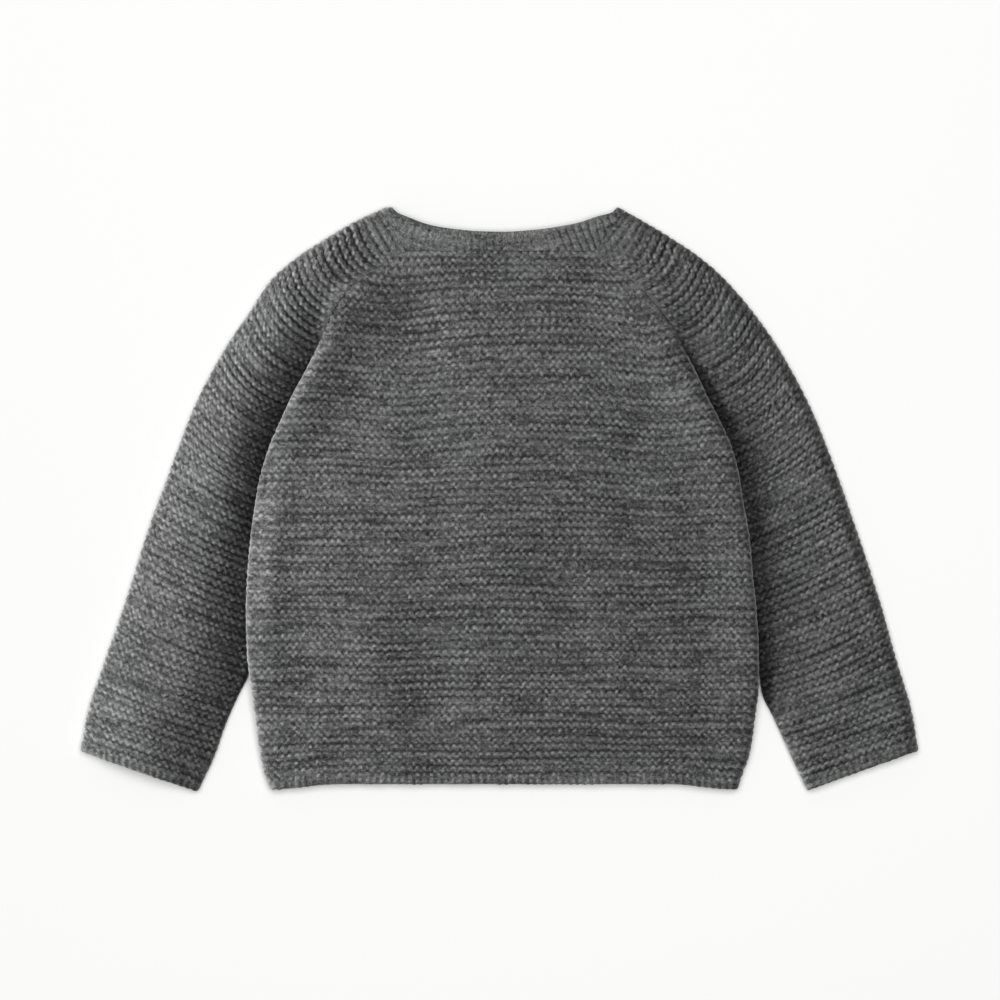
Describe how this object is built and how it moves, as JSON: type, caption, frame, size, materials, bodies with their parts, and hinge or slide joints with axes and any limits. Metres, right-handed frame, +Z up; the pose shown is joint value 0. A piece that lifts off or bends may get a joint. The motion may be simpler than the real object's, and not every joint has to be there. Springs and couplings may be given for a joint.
{
  "type": "baby cardigan",
  "caption": "Baby cardigan in charcoal garter stitch with raglan sleeves and a ribbed round neck, buttoned at the front and laid flat with its back up.",
  "frame": {"origin": "middle of the footprint, on the surface that the cardigan lies on", "axes": "+Y towards the neck, +X towards the wearer's right sleeve, +Z up out of the back"},
  "size_m": [0.4722, 0.3294, 0.0114],
  "materials": {
    "knit": "charcoal grey marl yarn in garter stitch",
    "button": "plain dark grey, satin"
  },
  "bodies": {
    "root": {"back": "knit", "front_left": "knit", "front_right": "knit", "sleeve_left": "knit", "sleeve_right": "knit", "neckband": "knit", "button_1": "button", "button_2": "button", "button_3": "button", "button_4": "button", "button_5": "button"}
  },
  "joints": []
}
